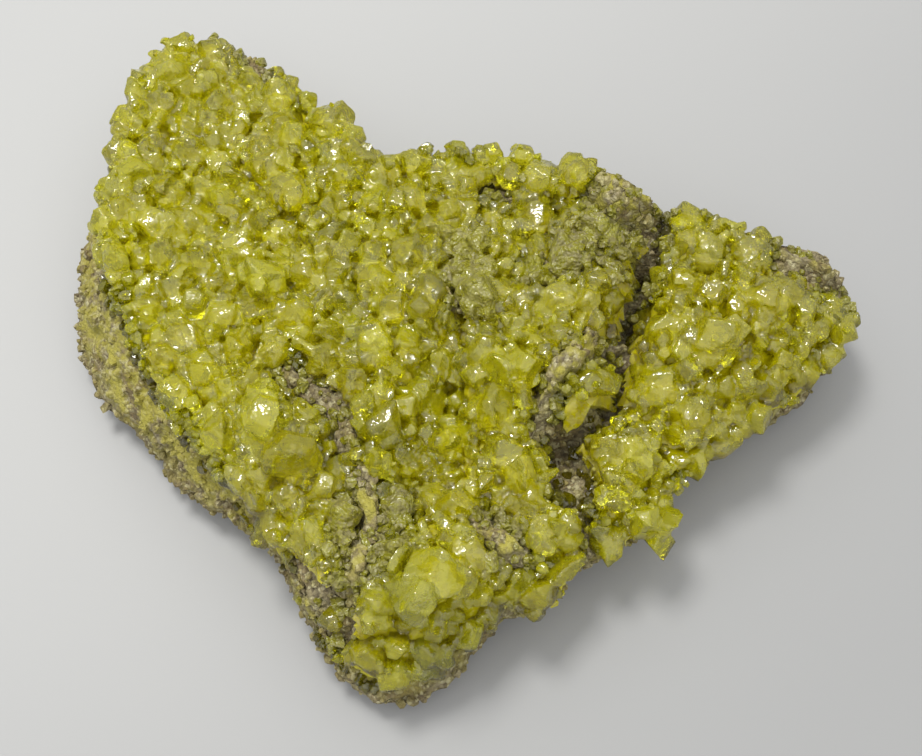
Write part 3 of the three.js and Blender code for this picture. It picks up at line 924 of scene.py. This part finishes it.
def sowSmall():
    draw = np.random.default_rng(smallLook["seed"])
    tree = treeOf(rock, *beds.values(), *crystalPieces.values())
    found = []
    for i in range(smallLook["tries"]):
        if len(found) >= smallLook["count"]:
            break
        x, y = draw.uniform(-85, 85), draw.uniform(-69, 85)
        edge = float(distanceToEdge(x, y))
        bare = float(distanceToBare(x, y))
        share, fall = smallLook["onBare"]
        if edge < -smallLook["pastEdge"] or (bare < 0 and draw.random() > share * math.exp(bare * fall)):
            continue
        spot, normal = seatOn(tree, x, y)
        if spot is None or spot[2] < smallLook["lowest"]:
            continue
        above = spot[2] - groundAt(x, y)
        if above > smallLook["top"] and draw.random() > smallLook["onTops"]:
            continue
        if edge > 3 and bare > 3 and draw.random() > smallLook["inField"] + zoneValues(x, y)[0]:
            continue
        size = smallLook["least"] + (smallLook["most"] - smallLook["least"]) * draw.random() ** 1.8
        if above > smallLook["top"]:
            size *= smallLook["topSize"]
        habit = pickHabit(draw, smallShapes)
        shape = smallShapes[habit][draw.integers(len(smallShapes[habit]))]
        sizes = size / 2 * draw.uniform(0.75, 1.1, 3)
        frameOf = frameAlong(normal, draw, sizes, smallLook["lean"])
        place = spot + normal * size * smallLook["out"]
        foot = place[2] - min(above, 6) - 1
        found.append({"shape": shape, "frame": frameOf, "place": place, "foot": foot, "size": size})
    return found


smallCrystals = sowSmall()
for copy in smallCrystals:
    finishOf(copy, draw)
    if distanceToBare(copy["place"][0], copy["place"][1]) < 1.5:
        copy["dust"] = min(1.0, copy["dust"] + finishLook["nearBare"])
        if copy["dust"] > finishLook["grainDustyOver"]:
            copy["finish"] = dusty
grainPieces = {}
for crust, node in crusts.items():
    copies = [c for c in smallCrystals if crustAt(*c["place"][:2]) == crust]
    grainPieces[crust] = joinCopies(node + "_grains", copies)
    print(grainPieces[crust].name, len(copies), "small crystals")

# What the materials read on the rock and beds


def stainRock(piece):
    points = pointsOf(piece.data) / mm
    x, y, z = points.T
    up = arrayOf(piece.data.vertices, "normal", 3, np.float32)[:, 2]
    edge, bare = distanceToEdge(x, y), distanceToBare(x, y)
    under = smoothstep(bare, -0.8, 1.2) * smoothstep(edge, -1.5, 1.0)
    flank = 0.75 * smoothstep(z, 3, 16) * smoothstep(-edge, -2, 1)
    ridges = 0.8 * smoothstep(-bare, -1, 0.5) * smoothstep(z, 24, 29)
    stain = np.maximum(np.maximum(under, flank), ridges)
    giveValues(piece.data, "stain", np.clip(stain * (0.35 + 0.65 * smoothstep(up, -0.4, 0.3)), 0, 1))
    giveValues(piece.data, "dark", smoothstep(-z, -9, -1))


stainRock(rock)
for bed in beds.values():
    x, y, z = (pointsOf(bed.data) / mm).T
    giveValues(bed.data, "tone", np.full(len(x), bedLook["tone"]))
    # painted shade: the bed is pushed towards its deep colour, so the gaps between crystals read as shaded
    giveValues(bed.data, "depth", np.full(len(x), bedLook["depth"]))
    giveValues(bed.data, "rim", np.zeros(len(x)))
    nearBare = 0.5 * smoothstep(-distanceToBare(x, y), -2.5, 0)
    giveValues(bed.data, "dust", np.clip(zoneAmount(x, y, dustZones) + nearBare, 0, 1))

# Helpers for the materials' nodes


def newGroup(name, inputs, outputs):
    group = bpy.data.node_groups.new(name, "ShaderNodeTree")
    for label, kind, value in inputs:
        socket = group.interface.new_socket(label, in_out="INPUT", socket_type="NodeSocket" + kind)
        if value is not None:
            socket.default_value = value
    for label, kind in outputs:
        group.interface.new_socket(label, in_out="OUTPUT", socket_type="NodeSocket" + kind)
    return group, group.nodes.new("NodeGroupInput"), group.nodes.new("NodeGroupOutput")


def addNode(tree, kind, inputs=None, **settings):
    node = tree.nodes.new("ShaderNode" + kind)
    for key, value in settings.items():
        setattr(node, key, value)
    for key, value in (inputs or {}).items():
        socket = node.inputs[key]
        if isinstance(value, bpy.types.NodeSocket):
            tree.links.new(value, socket)
        else:
            socket.default_value = value
    return node


def maths(tree, operation, a, b=None, clamp=False):
    inputs = {0: a} if b is None else {0: a, 1: b}
    return addNode(tree, "Math", inputs, operation=operation, use_clamp=clamp).outputs[0]


def mixColour(tree, share, a, b):
    return addNode(tree, "Mix", {0: share, 6: a, 7: b}, data_type="RGBA").outputs[2]


def ramp(tree, value, low, high):
    inputs = {"Value": value, "From Min": low, "From Max": high}
    return addNode(tree, "MapRange", inputs, interpolation_type="SMOOTHSTEP").outputs[0]


def noise(tree, vector, scale, detail=3.0, roughness=0.55):
    inputs = {"Vector": vector, "Scale": scale, "Detail": detail, "Roughness": roughness}
    return addNode(tree, "TexNoise", inputs).outputs["Fac"]


def rgb(*screen):  # a colour as a screen shows it, as linear light
    shares = (c / 255 for c in screen)
    return tuple(c / 12.92 if c <= 0.04 else ((c + 0.055) / 1.055) ** 2.4 for c in shares) + (1,)


# Effects shared by several materials


def vectorMaths(tree, operation, a, b):
    return addNode(tree, "VectorMath", {0: a, 1: b}, operation=operation).outputs


def facetHeight(tree, place, scale):  # small flat faces, each tipped its own way
    cells = addNode(tree, "TexVoronoi", {"Vector": place, "Scale": scale}, feature="F1")
    offset = vectorMaths(tree, "SUBTRACT", place, cells.outputs["Position"])[0]
    tilt = vectorMaths(tree, "SUBTRACT", cells.outputs["Color"], (0.5, 0.5, 0.5))[0]
    return maths(tree, "MULTIPLY", vectorMaths(tree, "DOT_PRODUCT", offset, tilt)["Value"], scale)


marksLook = {"facets": 380, "waves": (300, 0.4), "fine": (1700, 0.1), "frost": (260, 0.52, 0.68)}


def makeGrowthMarks():  # little facets, uneven faces and frosted patches of a crystal
    group, source, result = newGroup(
        "growthMarks",
        [("Facets", "Float", 1.0), ("Waves", "Float", 1.0)],
        [("Height", "Float"), ("Frost", "Float")],
    )
    place = addNode(group, "TexCoord").outputs["Object"]
    height = maths(group, "MULTIPLY", facetHeight(group, place, marksLook["facets"]), source.outputs["Facets"])
    waves = maths(group, "MULTIPLY", noise(group, place, marksLook["waves"][0], 1.0), marksLook["waves"][1])
    fine = maths(group, "MULTIPLY", noise(group, place, marksLook["fine"][0], 0.0), marksLook["fine"][1])
    waves = maths(group, "MULTIPLY", maths(group, "ADD", waves, fine), source.outputs["Waves"])
    height = maths(group, "ADD", height, waves)
    scale, low, high = marksLook["frost"]
    frost = ramp(group, noise(group, place, scale, 1.0, 0.65), low, high)
    group.links.new(height, result.inputs["Height"])
    group.links.new(frost, result.inputs["Frost"])
    return group


def makeSulfurColour():  # each crystal's tone, with painted shade in the hollows and towards the feet, a painted highlight on edges, and specks of dust
    group, source, result = newGroup(
        "sulfurColour",
        [("Light", "Color", None), ("Mid", "Color", None), ("Deep", "Color", None), ("Dust", "Color", None)],
        [("Color", "Color"), ("Dust Mask", "Float")],
    )
    place = addNode(group, "TexCoord").outputs["Object"]
    tone = addNode(group, "Attribute", attribute_name="tone").outputs["Fac"]
    dust = addNode(group, "Attribute", attribute_name="dust").outputs["Fac"]
    depth = addNode(group, "Attribute", attribute_name="depth").outputs["Fac"]
    rim = addNode(group, "Attribute", attribute_name="rim").outputs["Fac"]
    cloud = noise(group, place, 180, 2.0, 0.6)
    patches = maths(group, "SUBTRACT", cloud, 0.55)
    amount = maths(group, "ADD", maths(group, "MULTIPLY", tone, 0.8), patches, clamp=True)
    # painted highlight: the light colour on edges
    paintedEdgeHighlight = maths(group, "MULTIPLY", ramp(group, rim, 0.12, 0.75), 0.8)
    amount = maths(group, "MAXIMUM", amount, paintedEdgeHighlight)
    colour = mixColour(group, amount, source.outputs["Mid"], source.outputs["Light"])
    # painted shade: the deep colour in hollows and towards the feet, and for low-toned crystals
    shadeAndToneShare = ramp(group, depth, 0.3, 1.0)
    colour = mixColour(group, maths(group, "MULTIPLY", shadeAndToneShare, 0.92), colour, source.outputs["Deep"])
    specks = noise(group, place, 620, 3.0, 0.7)
    dustMask = maths(group, "MULTIPLY", dust, ramp(group, specks, 0.42, 0.6), clamp=True)
    colour = mixColour(group, maths(group, "MULTIPLY", dustMask, 0.8), colour, source.outputs["Dust"])
    group.links.new(colour, result.inputs["Color"])
    group.links.new(dustMask, result.inputs["Dust Mask"])
    return group


def makeRockGrain():  # crumbs, pores and stains of the rock
    group, source, result = newGroup(
        "rockGrain",
        [("Base", "Color", None), ("Pale", "Color", None), ("Dark", "Color", None), ("Warm", "Color", None)],
        [("Color", "Color"), ("Height", "Float"), ("Gloss", "Float")],
    )
    place = addNode(group, "TexCoord").outputs["Object"]
    broad = noise(group, place, 90, 4.0, 0.6)
    medium = noise(group, place, 520, 4.0, 0.7)
    fine = noise(group, place, 1900, 2.0, 0.7)
    crumbs = addNode(group, "TexVoronoi", {"Vector": place, "Scale": 1300, "Randomness": 1.0}, feature="F1")
    crumbTone = addNode(group, "SeparateColor", {0: crumbs.outputs["Color"]}).outputs[0]
    colour = mixColour(group, ramp(group, broad, 0.4, 0.62), source.outputs["Base"], source.outputs["Warm"])
    layers = [  # what it follows, from, to, share, colour
        (medium, 0.5, 0.68, 0.7, "Dark"),
        (crumbTone, 0.62, 0.95, 0.75, "Pale"),
        (crumbTone, 0.22, 0.05, 0.6, "Dark"),
        (crumbs.outputs["Distance"], 0.45, 0.75, 0.3, "Dark"),  # gaps between the crumbs
    ]
    for value, low, high, share, label in layers:
        amount = maths(group, "MULTIPLY", ramp(group, value, low, high), share)
        colour = mixColour(group, amount, colour, source.outputs[label])
    height = maths(group, "MULTIPLY", maths(group, "SUBTRACT", 1.0, crumbs.outputs["Distance"]), 0.4)
    height = maths(group, "ADD", height, maths(group, "MULTIPLY", fine, 0.4))
    height = maths(group, "ADD", height, maths(group, "MULTIPLY", medium, 1.1))
    group.links.new(colour, result.inputs["Color"])
    group.links.new(height, result.inputs["Height"])
    group.links.new(crumbTone, result.inputs["Gloss"])
    return group


growthMarks = makeGrowthMarks()
sulfurColour = makeSulfurColour()
rockGrain = makeRockGrain()


def useGroup(tree, group, **inputs):
    node = tree.nodes.new("ShaderNodeGroup")
    node.node_tree = group
    for key, value in inputs.items():
        socket = node.inputs[key]
        if isinstance(value, bpy.types.NodeSocket):
            tree.links.new(value, socket)
        else:
            socket.default_value = value
    return node.outputs


def newMaterial(name):
    material = bpy.data.materials.new(name)
    material.use_nodes = True
    tree = material.node_tree
    shader = tree.nodes["Principled BSDF"]
    return material, tree, shader


sulfurLook = {
    "dust": rgb(166, 154, 104),
    "scatter": (1.0, 0.92, 0.1),  # how far red, green and blue light reach, as shares of scatterScale
    "scatterScale": 0.0022,
    "ior": 1.7,
    "gloss": 0.5,
    "bump": 0.0012,
}


tints = {  # light colour (also the painted highlight on edges), middle colour, and deep colour (painted shade, and low tone)
    "clear": (rgb(254, 254, 58), rgb(250, 245, 12), rgb(168, 155, 2)),
    "body": (rgb(252, 252, 46), rgb(238, 231, 5), rgb(130, 118, 1)),
    "dusty": (rgb(206, 204, 66), rgb(172, 166, 26), rgb(92, 86, 8)),
    # the bed's colours: its own colour, darkened as painted shade so the gaps between crystals read as deep
    "solid": (rgb(224, 220, 14), rgb(196, 187, 3), rgb(148, 134, 1)),
}


def makeSulfur(name, tint, transmission, roughness, subsurface, facets, waves=1.0):
    material, tree, shader = newMaterial(name)
    light, mid, deep = tints[tint]
    colours = useGroup(tree, sulfurColour, Light=light, Mid=mid, Deep=deep, Dust=sulfurLook["dust"])
    marks = useGroup(tree, growthMarks, Facets=facets, Waves=waves)
    tree.links.new(colours["Color"], shader.inputs["Base Color"])
    rough = maths(tree, "ADD", roughness, maths(tree, "MULTIPLY", marks["Frost"], 0.3))
    rough = maths(tree, "ADD", rough, maths(tree, "MULTIPLY", colours["Dust Mask"], 0.35), clamp=True)
    tree.links.new(rough, shader.inputs["Roughness"])
    bump = addNode(tree, "Bump", {"Height": marks["Height"], "Distance": sulfurLook["bump"], "Strength": 0.8})
    tree.links.new(bump.outputs[0], shader.inputs["Normal"])
    shader.inputs["IOR"].default_value = sulfurLook["ior"]
    shader.inputs["Specular IOR Level"].default_value = sulfurLook["gloss"]
    shader.inputs["Transmission Weight"].default_value = transmission
    shader.inputs["Subsurface Weight"].default_value = subsurface
    shader.inputs["Subsurface Radius"].default_value = sulfurLook["scatter"]
    shader.inputs["Subsurface Scale"].default_value = sulfurLook["scatterScale"]
    return material


clearSulfur = makeSulfur("clearSulfur", "clear", 0.9, 0.04, 0.0, 1.0)
bodySulfur = makeSulfur("bodySulfur", "body", 0.8, 0.08, 0.0, 1.2)
dustySulfur = makeSulfur("dustySulfur", "dusty", 0.55, 0.26, 0.0, 1.4, 5.0)
bedSulfur = makeSulfur("bedSulfur", "solid", 0.0, 0.2, 0.8, 1.2)


rockColours = {
    "base": rgb(150, 139, 106),
    "pale": rgb(200, 192, 150),
    "dark": rgb(84, 72, 54),
    "warm": rgb(134, 118, 80),
    "stain": rgb(174, 166, 56),
}


def makeRockMaterial():
    material, tree, shader = newMaterial("crumblyRock")
    colours = {key.title(): rockColours[key] for key in ("base", "pale", "dark", "warm")}
    grain = useGroup(tree, rockGrain, **colours)
    place = addNode(tree, "TexCoord").outputs["Object"]
    stain = addNode(tree, "Attribute", attribute_name="stain").outputs["Fac"]
    dark = addNode(tree, "Attribute", attribute_name="dark").outputs["Fac"]
    patches = ramp(tree, noise(tree, place, 240, 4.0, 0.65), 0.36, 0.58)
    stained = maths(tree, "MULTIPLY", stain, patches, clamp=True)
    colour = mixColour(tree, stained, grain["Color"], rockColours["stain"])
    colour = mixColour(tree, maths(tree, "MULTIPLY", dark, 0.45), colour, rockColours["dark"])
    tree.links.new(colour, shader.inputs["Base Color"])
    rough = maths(tree, "SUBTRACT", 0.88, maths(tree, "MULTIPLY", ramp(tree, grain["Gloss"], 0.85, 1.0), 0.45))
    tree.links.new(rough, shader.inputs["Roughness"])
    bump = addNode(tree, "Bump", {"Height": grain["Height"], "Distance": 0.0009, "Strength": 0.9})
    tree.links.new(bump.outputs[0], shader.inputs["Normal"])
    return material


rockMaterial = makeRockMaterial()
rock.data.materials.append(rockMaterial)
for piece in [*crystalPieces.values(), *grainPieces.values()]:
    for material in (clearSulfur, bodySulfur, dustySulfur):
        piece.data.materials.append(material)
for bed in beds.values():
    bed.data.materials.append(bedSulfur)

# Crumbs of rock on its bare parts

crumbLook = {  # sizes in mm
    "seed": 12,
    "count": 2600,
    "tries": 40000,
    "least": 0.8,
    "most": 3.4,
    "shapes": 8,
    "crease": 20,
    "onTop": 0.72,  # share on the bare strips; the others are on the flanks
    "flank": (2.5, 22),
    "pastBare": 0.6,
    "lean": 0.6,
    "sink": 0.02,  # of the size
}


def makeCrumbs():
    draw = np.random.default_rng(crumbLook["seed"])
    shapes = [
        finishShape(cutCrystal("block", draw, chips=1), crumbLook["crease"]) for i in range(crumbLook["shapes"])
    ]
    copies = []
    for i in range(crumbLook["tries"]):
        if len(copies) >= crumbLook["count"]:
            break
        if draw.random() < crumbLook["onTop"]:
            x, y = draw.uniform(-85, 85), draw.uniform(-69, 85)
            if float(distanceToBare(x, y)) > crumbLook["pastBare"] or float(distanceToEdge(x, y)) < 0:
                continue
            spot, normal = seatOn(rockTree, x, y)
        else:
            angle, z = draw.uniform(0, 2 * math.pi), draw.uniform(*crumbLook["flank"])
            away = Vector((math.cos(angle), math.sin(angle), 0))
            start = Vector((middle[0] * mm, middle[1] * mm, z * mm)) + away * 0.12
            hit = rockTree.ray_cast(start, -away)
            if hit[0] is None:
                continue
            spot, normal = np.array(hit[0]) / mm, np.array(hit[1])
        if spot is None or spot[2] < 2:
            continue
        size = crumbLook["least"] + (crumbLook["most"] - crumbLook["least"]) * draw.random() ** 2.5
        sizes = size / 2 * draw.uniform(0.6, 1.1, 3)
        copies.append({
            "shape": shapes[draw.integers(len(shapes))],
            "frame": frameAlong(normal, draw, sizes, crumbLook["lean"]),
            "place": spot - normal * size * crumbLook["sink"],
            "foot": spot[2], "deep": 6, "tone": 0, "dust": 0, "finish": 0,
        })
    piece = joinCopies("rock_crumbs", copies)
    x, y, z = (pointsOf(piece.data) / mm).T
    edge = distanceToEdge(x, y)
    giveValues(piece.data, "stain", 0.5 * smoothstep(z, 8, 18) * smoothstep(-edge, -2, 1) + 0.25)
    giveValues(piece.data, "dark", smoothstep(-z, -9, -1))
    piece.data.materials.append(rockMaterial)
    return piece


crumbs = makeCrumbs()
print("crumbs:", len(crumbs.data.polygons), "faces")

for piece in [rock, crumbs]:
    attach(piece, "root")
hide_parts("rock_matrix")
grown = [(crystalPieces[body], node) for body, node in bodies.items()]
grown += [(piece, node) for crust, node in crusts.items() for piece in (beds[crust], grainPieces[crust])]
for piece, node in grown:
    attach(piece, "root")
    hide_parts(node)
rock.data.polygons.foreach_set("use_smooth", [True] * len(rock.data.polygons))

# Floor, light and camera

stageLook = {
    "floorSize": 1.6,
    "across": (-0.2, 0.2),  # painted light fall-off, from the lighter corner to the darker one
    "floor": rgb(180, 180, 178),
    "floorPaintedShade": rgb(158, 158, 157),
    "world": (0.97, 0.98, 1.0, 1),
    "worldStrength": 0.62,
}


def makeStage():
    deselectAll()
    bpy.ops.mesh.primitive_plane_add(size=stageLook["floorSize"], location=(0, 0, 0))
    floor = bpy.context.object
    floor.name = "floor"
    material, tree, shader = newMaterial("paleTable")
    place = addNode(tree, "TexCoord").outputs["Object"]
    split = addNode(tree, "SeparateXYZ", {0: place})
    # painted light fall-off: the floor goes darker from the north-west corner to the south-east one, with faint
    # blotches
    across = maths(tree, "SUBTRACT", split.outputs[0], split.outputs[1])
    blotches = maths(tree, "MULTIPLY", noise(tree, place, 9, 4.0), 0.1)
    shade = maths(tree, "ADD", ramp(tree, across, *stageLook["across"]), blotches)
    tint = mixColour(tree, shade, stageLook["floor"], stageLook["floorPaintedShade"])
    tree.links.new(tint, shader.inputs["Base Color"])
    shader.inputs["Roughness"].default_value = 0.5
    shader.inputs["Specular IOR Level"].default_value = 0.3
    floor.data.materials.append(material)
    world = bpy.data.worlds.new("studio")
    world.use_nodes = True
    background = world.node_tree.nodes["Background"]
    background.inputs["Color"].default_value = stageLook["world"]
    background.inputs["Strength"].default_value = stageLook["worldStrength"]
    bpy.context.scene.world = world


lights = {  # place, size, power, colour; each looks at the specimen
    "key": ((-0.22, 0.25, 0.9), 0.25, 5.2, (1.0, 0.99, 0.97)),
    "sky": ((-0.05, 0.1, 1.0), 1.7, 6.5, (1.0, 1.0, 1.0)),
    "front": ((0.4, -0.9, 0.8), 0.8, 1.5, (1.0, 1.0, 1.0)),
}


def makeLights():
    for name, (place, size, power, colour) in lights.items():
        data = bpy.data.lights.new(name, "AREA")
        data.shape = "SQUARE"
        data.size = size
        data.energy = power
        data.color = colour
        lamp = bpy.data.objects.new(name, data)
        lamp.location = place
        lamp.rotation_euler = (Vector((0, 0, 0.01)) - Vector(place)).to_track_quat("-Z", "Y").to_euler()
        bpy.context.scene.collection.objects.link(lamp)


cameraLook = {"place": (0, -0.10738, 0.25918), "aim": (0, 0, 0.018), "lens": 50, "sensor": 36}


def makeCamera():
    data = bpy.data.cameras.new("camera")
    data.lens = cameraLook["lens"]
    data.sensor_width = cameraLook["sensor"]
    data.clip_start = 0.01
    camera = bpy.data.objects.new("camera", data)
    camera.location = cameraLook["place"]
    aim = Vector(cameraLook["aim"]) - Vector(cameraLook["place"])
    camera.rotation_euler = aim.to_track_quat("-Z", "Y").to_euler()
    bpy.context.scene.collection.objects.link(camera)
    bpy.context.scene.camera = camera


makeStage()
makeLights()
makeCamera()
bpy.context.scene.view_settings.view_transform = "Standard"
print("stage set")
